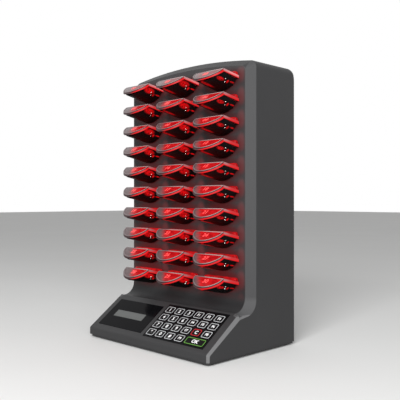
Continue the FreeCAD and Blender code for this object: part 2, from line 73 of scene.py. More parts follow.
def tone(red, green, blue):
    """A colour as it looks on screen, 0 to 255, in the linear values that a shader takes."""
    def linear(value):
        share = value / 255
        return share / 12.92 if share <= 0.04045 else ((share + 0.055) / 1.055) ** 2.4

    return (linear(red), linear(green), linear(blue), 1.0)


def fill(tree, socket, value):
    """Gives a socket a plain value, or joins it to another node's output."""
    if isinstance(value, bpy.types.NodeSocket):
        tree.links.new(value, socket)
    else:
        socket.default_value = value


def node(tree, kind, settings=None, **inputs):
    """A shader node. Inputs have the editor's names, with an underscore for a space."""
    made = tree.nodes.new("ShaderNode" + kind)
    for name, value in (settings or {}).items():
        setattr(made, name, value)
    for name, value in inputs.items():
        fill(tree, made.inputs[name.replace("_", " ")], value)
    return made


def reckon(tree, operation, *values, clamp=False):
    """The answer of a Math node."""
    made = node(tree, "Math", {"operation": operation, "use_clamp": clamp})
    for socket, value in zip(made.inputs, values):
        fill(tree, socket, value)
    return made.outputs[0]


def blended(tree, share, first, second):
    """The colour that lies that share of the way from the first to the second."""
    made = node(tree, "Mix", {"data_type": "RGBA"})
    fill(tree, made.inputs[0], share)
    fill(tree, made.inputs[6], first)
    fill(tree, made.inputs[7], second)
    return made.outputs[2]


def places(tree):
    """Object coordinates, which are the unit's own, in metres."""
    return node(tree, "TexCoord").outputs["Object"]


def noise(tree, scale, detail=2.0):
    """Cloudy noise from 0 to 1 on the unit's own coordinates."""
    return node(tree, "TexNoise", Vector=places(tree), Scale=scale, Detail=detail).outputs["Fac"]


def material(name, **sockets):
    """A material with one Principled shader. The sockets set here are the same all over."""
    made = bpy.data.materials.new(name)
    made.use_nodes = True
    skin = made.node_tree.nodes["Principled BSDF"]
    for socket, value in sockets.items():
        skin.inputs[socket.replace("_", " ")].default_value = value
    return made, made.node_tree, skin


def vary_colour(tree, skin, mask, darker, lighter):
    """A base colour that goes from one near shade to the other with a mask."""
    fill(tree, skin.inputs["Base Color"], blended(tree, mask, tone(*darker), tone(*lighter)))


def lamp(name, place, across, watts):
    """A soft lamp that faces the unit. Its place and size are in metres."""
    light = bpy.data.lights.new(name, "AREA")
    light.shape = "RECTANGLE"
    light.size, light.size_y = across
    light.energy = watts
    holder = bpy.data.objects.new(name, light)
    holder.location = place
    holder.rotation_euler = (lamp_aim - Vector(place)).to_track_quat("-Z", "Y").to_euler()
    bpy.context.scene.collection.objects.link(holder)


def new_piece(name, mesh, *finishes):
    """An object at the origin from a bmesh, which is used up."""
    data = bpy.data.meshes.new(name)
    mesh.to_mesh(data)
    mesh.free()
    for finish in finishes:
        data.materials.append(finish)
    piece = bpy.data.objects.new(name, data)
    bpy.context.scene.collection.objects.link(piece)
    return piece


camera = bpy.data.objects.new("camera", bpy.data.cameras.new("camera"))
camera.data.lens = camera_lens
camera.location = camera_place
camera.rotation_euler = (math.pi / 2, 0, camera_turn)
bpy.context.scene.collection.objects.link(camera)
bpy.context.scene.camera = camera
bpy.context.scene.view_settings.view_transform = "Standard"

floor_paint, tree, skin = material("floor_paint", Roughness=0.75)
vary_colour(tree, skin, noise(tree, scale=3.0), (228, 228, 227), (233, 233, 232))
sheet = bmesh.new()
bmesh.ops.create_grid(sheet, x_segments=1, y_segments=1, size=floor_reach)
new_piece("floor", sheet, floor_paint)

surround = bpy.data.worlds.new("surround")
surround.use_nodes = True
bpy.context.scene.world = surround
tree = surround.node_tree
rays = node(tree, "LightPath").outputs
seen = reckon(tree, "MAXIMUM", rays["Is Camera Ray"], rays["Is Glossy Ray"])
seen = reckon(tree, "MAXIMUM", seen, rays["Is Transmission Ray"])
level = reckon(tree, "MULTIPLY_ADD", seen, 1 - surround_level, surround_level)
fill(tree, tree.nodes["Background"].inputs["Strength"], level)
fill(tree, tree.nodes["Background"].inputs["Color"], tone(255, 255, 255))

for lamp_row in lamps:
    lamp(*lamp_row)

# Front housing: the tall column and the console in one moulding of dark grey plastic with a
# fine spark-eroded grain. Its side bevels carry a painted highlight. The wall behind the
# pagers has painted shade at its foot and painted light at its head. Painted red light and
# painted shade round each pager stand for the light that the rings cast on it.
grains_per_metre = 1500.0
slow_scale = 14.0
rough_spread = 0.12
pit_strength = 0.35
edge_radius = 0.9 * mm
edge_samples = 6
black = tone(0, 0, 0)
pager_count, pager_columns = 30, 3
pager_boxes = [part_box("pager_%02d" % number) for number in range(1, pager_count + 1)]
pager_pitch_x = pager_boxes[1][1].x - pager_boxes[0][1].x
pager_pitch_z = pager_boxes[0][1].z - pager_boxes[pager_columns][1].z
ridge_high = pager_boxes[0][1].z
ridge_low = pager_boxes[-1][1].z

# An edge, here and below, is where a mask is 0 and where it is 1, and between them it is soft.
column_bevel_inner = 116.1 * mm
console_bevel_inner = 121.9 * mm
bevel_inner_edge = (-0.2 * mm, 0.3 * mm)
bevel_outer_edge = (124.95 * mm, 124.65 * mm)
bevel_back_edge = (4.6 * mm, 4.2 * mm)
# Share of the bevels' painted highlight.
bevel_highlight = 0.8
bend_foot_edge = (53.7 * mm, 54.7 * mm)
bend_top_edge = (78 * mm, 70 * mm)
wall_side_edge = (column_bevel_inner, column_bevel_inner - 0.5 * mm)
wall_front_edge = (-7.0 * mm, -7.8 * mm)
# Painted shade darkens the wall's foot, and painted light makes its head paler.
painted_foot_shade = 0.75
painted_foot_shade_edges = (106 * mm, 84 * mm), (56 * mm, 66 * mm)
painted_head_light = 0.6
painted_head_light_edge = (ridge_high - 6 * mm, ridge_high + 4 * mm)
# Round each pager the wall has painted red light and painted shade for the light its ring casts,
# and a painted streak of red light by each pager's right end.
glow_drop = 8 * mm
glow_size = (32 * mm, 15 * mm)
glow_edge = (1.5, 0.7)
end_glow_place = (34 * mm, -3 * mm)
end_glow_size = (10 * mm, 15 * mm)
glow_area_edges = (
    ("Z", ridge_low - 34 * mm, ridge_low - 14 * mm),
    ("Z", ridge_high + 9 * mm, ridge_high - 2 * mm),
    ("Y", *wall_front_edge),
    ("X", -118 * mm, -108 * mm),
    ("X", 118 * mm, 112 * mm),
)


def eased(tree, value, start, end):
    """Rises smoothly from 0 to 1 while the value goes from start to end."""
    made = node(tree, "MapRange", {"interpolation_type": "SMOOTHSTEP"}, Value=value)
    made.inputs["From Min"].default_value = start
    made.inputs["From Max"].default_value = end
    return made.outputs[0]


def product(tree, first, *others):
    """All the values multiplied."""
    for other in others:
        first = reckon(tree, "MULTIPLY", first, other)
    return first


def square_sum(tree, first, second):
    """The squares of two values added up."""
    return reckon(tree, "ADD", product(tree, first, first), product(tree, second, second))


def grain_group():
    """The shallow pits of a moulded surface, and the slow change of shade across a large one."""
    group = bpy.data.node_groups.new("moulded_grain", "ShaderNodeTree")
    for name, kind, value in (
        ("Vector", "NodeSocketVector", None),
        ("Grains Per Metre", "NodeSocketFloat", grains_per_metre),
    ):
        socket = group.interface.new_socket(name, in_out="INPUT", socket_type=kind)
        if value:
            socket.default_value = value
    for name in ("Height", "Shade"):
        group.interface.new_socket(name, in_out="OUTPUT", socket_type="NodeSocketFloat")
    given = group.nodes.new("NodeGroupInput").outputs
    result = group.nodes.new("NodeGroupOutput").inputs
    place, scale = given["Vector"], given["Grains Per Metre"]
    fine = node(group, "TexNoise", Vector=place, Scale=scale, Detail=3.0).outputs["Fac"]
    pits = node(group, "TexVoronoi", Vector=place, Scale=scale).outputs["Distance"]
    group.links.new(reckon(group, "ADD", fine, pits), result["Height"])
    slow = node(group, "TexNoise", Vector=place, Scale=slow_scale, Detail=3.0, Roughness=0.6)
    group.links.new(slow.outputs["Fac"], result["Shade"])
    return group


moulded_grain = grain_group()


def vary_roughness(tree, skin, mask, least, spread):
    """A roughness that grows from the least by that spread with a mask."""
    fill(tree, skin.inputs["Roughness"], reckon(tree, "MULTIPLY_ADD", mask, spread, least))


def moulded(name, darker, lighter, rough, grains=grains_per_metre, depth=0.03, soft=0.0, **sockets):
    """Grained plastic: two near shades, a roughness that varies a little, and the pits."""
    made, tree, skin = material(name, **sockets)
    grain = node(
        tree, "Group", {"node_tree": moulded_grain}, Vector=places(tree), Grains_Per_Metre=grains)
    shade, height = grain.outputs["Shade"], grain.outputs["Height"]
    vary_colour(tree, skin, shade, darker, lighter)
    vary_roughness(tree, skin, shade, least=rough - rough_spread / 2, spread=rough_spread)
    bump = node(tree, "Bump", Strength=pit_strength, Distance=depth * mm, Height=height)
    if soft:
        rounded = node(tree, "Bevel", {"samples": edge_samples}, Radius=soft)
        fill(tree, bump.inputs["Normal"], rounded.outputs["Normal"])
    fill(tree, skin.inputs["Normal"], bump.outputs["Normal"])
    return made, tree, skin


def dress(name, finish):
    """Gives a CAD node its finish."""
    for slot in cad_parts[name].material_slots:
        slot.material = finish


def near_share(tree, value, centre, spacing, reach):
    """How far a place is from the nearest of a row of places, as a share of the reach."""
    away = reckon(tree, "WRAP", reckon(tree, "SUBTRACT", value, centre), spacing / 2, -spacing / 2)
    return reckon(tree, "DIVIDE", away, reach)


def off_patch(tree, at, aside, above, size):
    """0 in the middle of a patch, one of which lies by each pager, and 1 along its oval rim."""
    return square_sum(
        tree, near_share(tree, at["X"], aside, pager_pitch_x, size[0]),
        near_share(tree, at["Z"], above, pager_pitch_z, size[1]))


def light_up(tree, skin, colour, strength=1.0):
    """Lets a material shine faintly in a colour."""
    fill(tree, skin.inputs["Emission Color"], colour)
    skin.inputs["Emission Strength"].default_value = strength


housing_grey, tree, skin = moulded(
    "housing_grey", (46, 46, 47), (52, 52, 53), rough=0.5, soft=edge_radius,
    Specular_IOR_Level=0.2)
at = node(tree, "SeparateXYZ", Vector=places(tree)).outputs
outward = reckon(tree, "ABSOLUTE", at["X"])
on_wall = product(
    tree, eased(tree, outward, *wall_side_edge), eased(tree, at["Y"], *wall_front_edge))
in_foot_shade = product(tree, *(eased(tree, at["Z"], *edge) for edge in painted_foot_shade_edges), on_wall)
in_head_light = product(tree, eased(tree, at["Z"], *painted_head_light_edge), on_wall)
grey = skin.inputs["Base Color"].links[0].from_socket
# Painted shade at the wall's foot, then painted light at its head.
grey = blended(tree, product(tree, in_foot_shade, painted_foot_shade), grey, tone(31, 31, 32))
grey = blended(tree, product(tree, in_head_light, painted_head_light), grey, tone(62, 62, 63))

on_column = eased(tree, at["Z"], *bend_foot_edge)
bevel_inner = reckon(
    tree, "MULTIPLY_ADD", on_column, column_bevel_inner - console_bevel_inner, console_bevel_inner)
on_bevel = product(
    tree, eased(tree, reckon(tree, "SUBTRACT", outward, bevel_inner), *bevel_inner_edge),
    eased(tree, outward, *bevel_outer_edge), eased(tree, at["Y"], *bevel_back_edge))
near_bend = eased(tree, at["Z"], *bend_top_edge)
# The bevels and the bend's strip are painted paler: a painted highlight where light catches them.
bevel_highlight_grey = blended(tree, near_bend, tone(67, 67, 68), tone(79, 79, 80))
bevel_highlight_grey = blended(tree, on_column, tone(112, 112, 113), bevel_highlight_grey)
grey = blended(tree, product(tree, on_bevel, bevel_highlight), grey, bevel_highlight_grey)

# Painted red light and painted shade on the wall round each pager, and a painted streak of light by
# each right end.
painted_light_area = product(tree, *(eased(tree, at[axis], *edge) for axis, *edge in glow_area_edges))
away = off_patch(tree, at, 0.0, ridge_high - glow_drop, glow_size)
painted_glow_and_shade = product(tree, eased(tree, reckon(tree, "SQRT", away), *glow_edge), painted_light_area)
away = off_patch(tree, at, end_glow_place[0], ridge_high + end_glow_place[1], end_glow_size)
painted_end_glow = product(tree, eased(tree, away, 1.0, 0.0), painted_light_area)
# Painted shade: the base colour is darkened and reddened there.
fill(tree, skin.inputs["Base Color"], blended(tree, painted_glow_and_shade, grey, tone(27, 20, 21)))
downward = eased(tree, at["Z"], ridge_high - 2 * pager_pitch_z, ridge_low)
glow = blended(tree, painted_glow_and_shade, black, blended(tree, downward, tone(60, 8, 10), tone(80, 9, 12)))
light_up(tree, skin, blended(tree, painted_end_glow, glow, tone(84, 14, 16)))
dress("front_housing", housing_grey)

# Rear cover: the back panel and the floor, one L-shaped moulding in near-black plastic, with
# slots for air and four holes for a bracket.
cover_black = moulded("cover_black", (34, 34, 35), (39, 39, 40), rough=0.55)[0]
dress("rear_cover", cover_black)

# Rubber feet: four soft discs pressed into the floor's recesses, a little dusty.
rubber = moulded("rubber", (22, 22, 22), (34, 33, 32), rough=0.85, grains=900.0)[0]
dress("rubber_feet", rubber)

# Cover screws: ten pan heads with a cross recess, zinc plated, six in the back and four in
# the floor. Each is turned with its head in a counterbore of the cover.
screw_head_high = 1.6 * mm
screw_dome = 0.5 * mm
screw_shank = 1.5 * mm
screw_taper = 0.9
recess_long = 3.4 * mm
recess_wide = 0.9 * mm
recess_deep = 0.8 * mm
recess_proud = 0.03 * mm
merge_near = 0.001 * mm
flush = 0.1 * mm


def solid_boxes(name):
    """The lowest and highest corner of each separate solid of a CAD node."""
    mesh = bmesh.new()
    mesh.from_mesh(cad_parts[name].data)
    bmesh.ops.remove_doubles(mesh, verts=mesh.verts[:], dist=merge_near)
    waiting = set(mesh.verts)
    boxes = []
    while waiting:
        found = [waiting.pop()]
        for vert in found:
            for edge in vert.link_edges:
                other = edge.other_vert(vert)
                if other in waiting:
                    waiting.remove(other)
                    found.append(other)
        columns = list(zip(*(vert.co for vert in found)))
        boxes.append((Vector(map(min, columns)), Vector(map(max, columns))))
    mesh.free()
    return boxes


def add_screw(mesh, low, high):
    """One screw that fills the box: its shank and its domed head. Returns the head's place."""
    size = high - low
    along = 1 if size.y > size.z else 2
    wide = max(size.x, min(size.y, size.z))
    centre = (low + high) / 2
    top = centre.copy()
    top[along] = high.y if along == 1 else low.z
    turn = Matrix.Rotation(-math.pi / 2 if along == 1 else math.pi, 4, "X")
    place = Matrix.Translation(top) @ turn
    length = size[along]
    head = bmesh.ops.create_cone(
        mesh, cap_ends=True, segments=32, radius1=wide / 2, radius2=wide / 2,
        depth=screw_head_high, matrix=place @ Matrix.Translation((0, 0, -screw_head_high / 2)),
    )["verts"]
    inward = (place.to_3x3() @ Vector((0, 0, -1))).normalized()
    crown = [e for e in {e for v in head for e in v.link_edges}
             if all((v.co - top).dot(inward) < flush for v in e.verts)]
    bmesh.ops.bevel(
        mesh, geom=crown, offset=screw_dome, segments=4, profile=0.5, affect="EDGES", material=-1,
    )
    bmesh.ops.create_cone(
        mesh, cap_ends=True, segments=20, radius1=screw_shank, radius2=screw_shank * screw_taper,
        depth=length - screw_head_high,
        matrix=place @ Matrix.Translation((0, 0, -(length + screw_head_high) / 2)),
    )
    return place


def brushed_metal(name, darker, lighter, scale, rough, detail=2.0):
    """Bare metal: two near shades, and a roughness from the one given up to its double."""
    made, tree, skin = material(name, Metallic=1.0)
    brushed = noise(tree, scale, detail)
    vary_colour(tree, skin, brushed, darker, lighter)
    vary_roughness(tree, skin, brushed, least=rough, spread=rough)
    return made


screw_zinc = brushed_metal(
    "screw_zinc", (150, 150, 152), (186, 186, 188), scale=2200.0, rough=0.25, detail=3.0)
recess_dark = moulded("recess_dark", (16, 16, 16), (26, 26, 26), rough=0.6)[0]
screws, crosses = bmesh.new(), bmesh.new()
arm_form = (Matrix.Translation((0, 0, recess_proud - recess_deep / 2))
            @ Matrix.Diagonal((recess_long, recess_wide, recess_deep, 1)))
for low, high in solid_boxes("cover_screws"):
    place = add_screw(screws, low, high)
    for turn in (0, math.pi / 2):
        arm = bmesh.ops.create_cube(crosses, size=1.0)["verts"]
        turned = place @ Matrix.Rotation(turn, 4, "Z")
        bmesh.ops.transform(crosses, matrix=turned @ arm_form, verts=arm)
cover_screws = new_piece("screw_set", screws, screw_zinc)
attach(cover_screws, "housing")
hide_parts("cover_screws")
recesses = new_piece("screw_recesses", crosses, recess_dark)
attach(recesses, "housing")

# Power jack: a black sleeve in the round window of the rear cover, in front of the inlet on
# the main board.
jack_place = Vector((45.0, 87.0, 18.1)) * mm
jack_radius = 4.6 * mm
jack_bore = 3.2 * mm
jack_deep = 9.0 * mm


def only(kind, found):
    """The elements of one kind among those that an operator returns."""
    return [element for element in found if isinstance(element, kind)]


def raise_rim(mesh, wide, move):
    """Keeps a rim that wide of the mesh's one face, and gives it a thickness."""
    inner = mesh.faces[:]
    rim = bmesh.ops.inset_region(
        mesh, faces=inner, thickness=wide, use_boundary=True, use_even_offset=True)["faces"]
    bmesh.ops.delete(mesh, geom=inner, context="FACES")
    grown = bmesh.ops.extrude_face_region(mesh, geom=rim)["geom"]
    bmesh.ops.translate(mesh, vec=move, verts=only(bmesh.types.BMVert, grown))
    bmesh.ops.recalc_face_normals(mesh, faces=mesh.faces[:])


def turned_ring(mesh, place, outer, inner, length):
    """A tube along local Z, its near end at the place."""
    bmesh.ops.create_circle(mesh, segments=40, radius=outer, cap_ends=True)
    raise_rim(mesh, outer - inner, (0, 0, -length))
    bmesh.ops.transform(mesh, matrix=place, verts=mesh.verts[:])


jack_black = moulded("jack_black", (20, 20, 21), (27, 27, 28), rough=0.4)[0]
sleeve = bmesh.new()
rearward = Matrix.Translation(jack_place) @ Matrix.Rotation(-math.pi / 2, 4, "X")
turned_ring(sleeve, rearward, jack_radius, jack_bore, jack_deep)
piece = new_piece("power_jack_sleeve", sleeve, jack_black)
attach(piece, "housing")

# Circuit boards: green boards behind the pockets, under the console and on the floor, with
# gilt spring pins, a tinned radio can, a black aerial and the black inlet with its steel pin.
# Each of these is a space across, deep and high in mm, a colour, and 1 if it is metal.
on_boards = {
    "spring pins": ((-120, 120), (-20, 15.7), (60, 400), (206, 170, 92), 1),
    "radio can": ((-15.1, 15.1), (36, 58.4), (12.2, 16.3), (176, 178, 180), 1),
    "aerial": ((-47.6, -42.4), (55.6, 60.8), (12.2, 123), (22, 22, 23), 0),
    "inlet": ((38.9, 51.1), (70, 84.3), (12.2, 24.2), (22, 22, 23), 0),
    "inlet pin": ((43.9, 46.1), (73, 84.1), (17, 19.2), (190, 192, 194), 1),
}


def between(tree, value, low, high):
    """1 between the two, in mm, and 0 elsewhere."""
    return reckon(tree, "COMPARE", value, (low + high) / 2 * mm, (high - low) / 2 * mm)


board_green, tree, skin = material("board_green", Roughness=0.35)
at = node(tree, "SeparateXYZ", Vector=places(tree)).outputs
colour = blended(tree, noise(tree, scale=220.0), tone(16, 68, 40), tone(24, 84, 50))
metal = 0.0
for across, deep, high, shade, metallic in on_boards.values():
    share = product(tree, between(tree, at["X"], *across), between(tree, at["Y"], *deep),
                    between(tree, at["Z"], *high))
    colour = blended(tree, share, colour, tone(*shade))
    metal = reckon(tree, "MAXIMUM", metal, product(tree, share, float(metallic)))
fill(tree, skin.inputs["Base Color"], colour)
fill(tree, skin.inputs["Metallic"], metal)
dress("circuit_boards", board_green)

# Display: a gloss black window, and the display's own glass under it, grey with the faint cells
# of a plain display of two rows of sixteen characters. It is switched off.
cad_low = cad_box[0]
nose_corner = 14.6 * mm
press_axis = Vector((0, 0.581754, -0.813365))
slope_angle = math.atan2(press_axis.y, -press_axis.z)
slope = Matrix.Translation((0, cad_low.y, nose_corner)) @ Matrix.Rotation(slope_angle, 4, "X")
display_side = 0.3 * mm
display_left, display_right = -96.8 * mm, -31.8 * mm
display_near, display_far = 29.9 * mm, 42.9 * mm
display_lift = (0.02 * mm, 0.12 * mm)
cell_edge = (0.45, 0.38)
cell_columns, cell_rows = 16, 2


def slope_box(name):
    """The lowest and highest corner of a CAD node in the slope's own directions."""
    back = slope.inverted()
    columns = list(zip(*(back @ v.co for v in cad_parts[name].data.vertices)))
    return Vector(map(min, columns)), Vector(map(max, columns))


def plate(mesh, low, high, place):
    """A flat box between two corners, set in place."""
    cube = bmesh.ops.create_cube(mesh, size=1.0)["verts"]
    shape = Matrix.Translation((low + high) / 2) @ Matrix.Diagonal((*(high - low), 1))
    bmesh.ops.transform(mesh, matrix=place @ shape, verts=cube)


gloss_black, tree, skin = material("gloss_black", Specular_IOR_Level=0.04)
smudge = noise(tree, scale=60.0, detail=3.0)
vary_colour(tree, skin, smudge, (10, 10, 12), (15, 15, 17))
vary_roughness(tree, skin, smudge, least=0.06, spread=0.16)
dress("display_window", gloss_black)

display_grey, tree, skin = material("display_grey", Roughness=0.35, Specular_IOR_Level=0.2)
flat = node(tree, "Mapping", {"vector_type": "POINT"}, Vector=places(tree))
flat.inputs["Rotation"].default_value = (-slope_angle, 0, 0)
near_corner = slope @ Vector((display_left, display_near, 0))
flat_corner = Matrix.Rotation(-slope_angle, 3, "X") @ near_corner
on_glass = node(tree, "SeparateXYZ", Vector=flat.outputs["Vector"]).outputs
cells = 1.0
for value, start, span, count in (
    (on_glass["X"], flat_corner.x, display_right - display_left, cell_columns),
    (on_glass["Y"], flat_corner.y, display_far - display_near, cell_rows),
):
    share = reckon(tree, "DIVIDE", reckon(tree, "SUBTRACT", value, start), span / count)
    off_middle = reckon(tree, "SUBTRACT", reckon(tree, "FRACT", share), 0.5)
    cells = product(tree, cells, eased(tree, reckon(tree, "ABSOLUTE", off_middle), *cell_edge))
vary_colour(tree, skin, cells, (93, 95, 94), (86, 88, 87))
glass = bmesh.new()
plate(glass, Vector((display_left + display_side, display_near + display_side, display_lift[0])),
      Vector((display_right - display_side, display_far - display_side, display_lift[1])), slope)
piece = new_piece("display_glass", glass, display_grey)
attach(piece, "housing")

# Keypad: a satin black panel, and black keys with a printed outline and a printed legend. The
# outlines are white, but for the red one of the clear key and the green one of the OK key.
legend_rows = (
    ("1", "2", "3", "F1", "F2", "F3"),
    ("4", "5", "6", "F4", "F5", "F6"),
    ("7", "8", "9", "F7", "C", "F8"),
    ("*", "0", "#", "F9", "OK"),
)
key_flange = 0.6 * mm
key_corner = 2.2 * mm
outline_gap = 0.25 * mm
outline_wide = 0.85 * mm
print_high = 0.08 * mm
legend_size = 7.4 * mm
small_legend_size = 5.6 * mm
wide_legend_size = 7.8 * mm
letter_swell = 0.03

panel_black = moulded(
    "panel_black", (10, 10, 11), (14, 14, 15), rough=0.4, depth=0.01,
    Specular_IOR_Level=0.06)[0]
dress("keypad_bezel", panel_black)
key_black = moulded(
    "key_black", (11, 11, 12), (15, 15, 16), rough=0.4, depth=0.01,
    Specular_IOR_Level=0.08)[0]


def ink(name, darker, lighter):
    """Printed ink: two near shades, half matt."""
    made, tree, skin = material(name, Roughness=0.45)
    vary_colour(tree, skin, noise(tree, scale=700.0, detail=3.0), darker, lighter)
    return made


white_ink = ink("white_ink", (176, 178, 180), (196, 198, 200))
legend_ink = ink("legend_ink", (232, 233, 234), (240, 241, 242))
red_ink = ink("red_ink", (185, 20, 30), (205, 32, 42))
green_ink = ink("green_ink", (82, 140, 48), (104, 160, 64))


def outline_ring(mesh, size_x, size_y, radius, wide, high):
    """A flat frame with round corners round the origin, its underside at zero."""
    verts = bmesh.ops.create_grid(mesh, x_segments=1, y_segments=1, size=0.5)["verts"]
    bmesh.ops.scale(mesh, vec=(size_x, size_y, 1), verts=verts)
    bmesh.ops.bevel(
        mesh, geom=verts, offset=radius, segments=5, profile=0.5, affect="VERTICES", material=-1)
    raise_rim(mesh, wide, (0, 0, high))


def lettering(mesh, words, size, high, place):
    """Adds plain raised letters, centred on the origin of the place."""
    curve = bpy.data.curves.new(words, "FONT")
    curve.body = words
    curve.size = size
    curve.extrude = high / 2
    curve.resolution_u = 3
    curve.align_x = "CENTER"
    curve.align_y = "CENTER"
    curve.offset = size * letter_swell
    holder = bpy.data.objects.new(words, curve)
    flat = bpy.data.meshes.new_from_object(holder)
    flat.transform(place @ Matrix.Translation((0, 0, high / 2)))
    mesh.from_mesh(flat)
    bpy.data.objects.remove(holder)
    bpy.data.meshes.remove(flat)


legends = [legend for row in legend_rows for legend in row]
for number, legend in enumerate(legends, 1):
    key = "key_%02d" % number
    dress(key, key_black)
    low, high = slope_box(key)
    centre = (low + high) / 2
    place = slope @ Matrix.Translation((centre.x, centre.y, high.z))
    trim = 2 * (key_flange + outline_gap)
    across, along = high.x - low.x - trim, high.y - low.y - trim
    prints = bmesh.new()
    outline_ring(prints, across, along, key_corner, outline_wide, print_high)
    bmesh.ops.transform(prints, matrix=place, verts=prints.verts[:])
    special = {"C": red_ink, "OK": green_ink}.get(legend, white_ink)
    piece = new_piece("key_outline_%02d" % number, prints, special)
    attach(piece, key)
    letters = bmesh.new()
    size = legend_size if len(legend) == 1 else small_legend_size
    lettering(letters, legend, wide_legend_size if legend == "OK" else size, print_high, place)
    piece = new_piece("key_legend_%02d" % number, letters, legend_ink)
    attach(piece, key)

# Pager sizes: all pagers are alike but for their number. Each has a smoky cover with a raised
# crown at the wall, a red light ring round it, and a black boat-shaped case that ends in a
# flat tongue. Forms are built with the middle of the ridge at the origin.
pager_half = 26.6 * mm
rear_half = 30.0 * mm
side_radius = 11.5 * mm
nose_run = 17.5 * mm
rear_run = 25.8 * mm
face_drop = 12.25 * mm
rear_drop = 6.2 * mm
band_high = 4.5 * mm
band_nose = 2.7 * mm
arc_steps = 7


def arc(mesh, start, centre, angle, steps, axis=(0, 0, 1)):
    """Spins one vertex round a centre. Returns the chain of vertices with the first one."""
    made = bmesh.ops.spin(
        mesh, geom=[start], cent=centre, axis=axis, angle=angle, steps=steps, use_merge=False,
    )["geom_last"]
    return only(bmesh.types.BMVert, made)[0]


def bow_turns(half, deep, side):
    """Radius of a bow's middle arc, and the angle that each side arc turns through."""
    big = ((half - side) ** 2 + deep ** 2 - side ** 2) / (2 * (deep - side))
    return big, math.atan2(big - deep, half - side)


def bow(mesh, half, deep, side, y=None):
    """Three tangent arcs from (half, 0) round (0, -deep) to (-half, 0), level or upright at y."""
    big, turn = bow_turns(half, deep, side)

    def at(u, v):
        return Vector((u, v, 0)) if y is None else Vector((u, y, v))

    axis, sense = ((0, 0, 1), -1) if y is None else ((0, 1, 0), 1)
    first = mesh.verts.new(at(half, 0))
    last = arc(mesh, first, at(half - side, 0), sense * turn, arc_steps, axis)
    last = arc(mesh, last, at(0, big - deep), sense * (math.pi - 2 * turn), 3 * arc_steps, axis)
    last = arc(mesh, last, at(side - half, 0), sense * turn, arc_steps, axis)
    return first, last


def roof(y):
    """Height of the pager's top faces, from the ridge down to the nose and down to the wall."""
    return y * face_drop / nose_run if y < 0 else -y * rear_drop / rear_run


def pager_outline(mesh, inset):
    """The pager's outline from above, that far inside its edge, as a nose face and a rear face."""
    half, rear = pager_half - inset, rear_half - inset
    first, last = bow(mesh, half, nose_run - inset, side_radius - inset)
    corners = [mesh.verts.new((x, rear_run - inset, 0)) for x in (-rear, rear)]
    for a, b in ((last, corners[0]), corners, (corners[1], first)):
        mesh.edges.new((a, b))
    bmesh.ops.contextual_create(mesh, geom=mesh.edges[:])
    bmesh.ops.connect_verts(mesh, verts=[first, last])


def raise_to_roof(mesh, lift=0.0):
    """Bends a level sheet to the top faces, that far above them."""
    for vert in mesh.verts:
        vert.co.z = roof(vert.co.y) + lift


def thicken(mesh, depth_at):
    """Closes an open sheet downwards by the depth that the function gives for each y."""
    grown = bmesh.ops.extrude_face_region(mesh, geom=mesh.faces[:])["geom"]
    for vert in only(bmesh.types.BMVert, grown):
        vert.co.z -= depth_at(vert.co.y)
    bmesh.ops.recalc_face_normals(mesh, faces=mesh.faces[:])


# Pager cover: a smoky clear lid 1.5 mm thick with a roof-like ridge. Its crown is a bar along
# the wall that stands up nearly to the ridge's height. The light ring's red shows through the
# crown and through the lid's rear right part. On the top row of pagers a painted reflection of
# the white surround makes the lid paler and its rear right part less red.
ring_wide = 2.2 * mm
cover_gap = 0.1 * mm
cover_wall = 1.5 * mm
edge_round = 0.3 * mm
sharp_angle = 1.0
upward = 0.5
crown_inset = 0.8 * mm
crown_run = 5.5 * mm
crown_drop = 0.9 * mm
crown_shoulder = 3.0 * mm
crown_round = 1.1 * mm
hair = 0.01 * mm
cut_near = 0.0001 * mm
ridge_y = pager_boxes[0][0].y + nose_run
over_ridge = 3 * mm
column_shift = 0.05
top_row_edge = (ridge_high - 19 * mm, ridge_high - 16 * mm)
red_under_reflection = 0.25
cloud_scale = 160.0
cloud_reach = 8 * mm
red_edge = (-13 * mm, -2 * mm)
crown_edge = (2 * mm, 14 * mm)
streak_scale = 300.0
streak_long = 2.5
streak_edge = (0.3, 0.7)


def soften_top(mesh):
    """Rounds the sharp edges of the faces that look up."""
    sharp = [e for e in mesh.edges if e.calc_face_angle(0) > sharp_angle
             and any(f.normal.z > upward for f in e.link_faces)]
    bmesh.ops.bevel(
        mesh, geom=sharp, offset=edge_round, segments=2, profile=0.5, affect="EDGES", material=-1)


def crown_bar():
    """The bar along the wall, cut off along the slope of the cover's rear face."""
    bar = bmesh.new()
    half, back = rear_half - crown_inset, rear_run - crown_inset
    low, high = -rear_drop - band_high / 2, -crown_drop
    corners = [bar.verts.new((x, back - crown_run, z))
               for x, z in ((-half, low), (half, low), (half, high), (-half, high))]
    bar.faces.new(corners)
    bmesh.ops.bevel(
        bar, geom=corners[2:], offset=crown_shoulder, segments=6, profile=0.5,
        affect="VERTICES", material=-1)
    grown = bmesh.ops.extrude_face_region(bar, geom=bar.faces[:])["geom"]
    bmesh.ops.translate(bar, vec=(0, crown_run, 0), verts=only(bmesh.types.BMVert, grown))
    bmesh.ops.recalc_face_normals(bar, faces=bar.faces[:])
    ends = [e for e in bar.edges if abs(e.verts[0].co.y - e.verts[1].co.y) < hair
            and min(v.co.z for v in e.verts) > low + hair]
    bmesh.ops.bevel(
        bar, geom=ends, offset=crown_round, segments=4, profile=0.5, affect="EDGES", material=-1)
    cut = bmesh.ops.bisect_plane(
        bar, geom=bar.verts[:] + bar.edges[:] + bar.faces[:], dist=cut_near,
        plane_co=(0, 0, 0), plane_no=(0, rear_drop, rear_run), clear_inner=True)["geom_cut"]
    bmesh.ops.holes_fill(bar, edges=only(bmesh.types.BMEdge, cut))
    return bar


def join_in(mesh, part):
    """Adds another bmesh, which is used up."""
    carrier = bpy.data.meshes.new("carrier")
    part.to_mesh(carrier)
    part.free()
    mesh.from_mesh(carrier)
    bpy.data.meshes.remove(carrier)


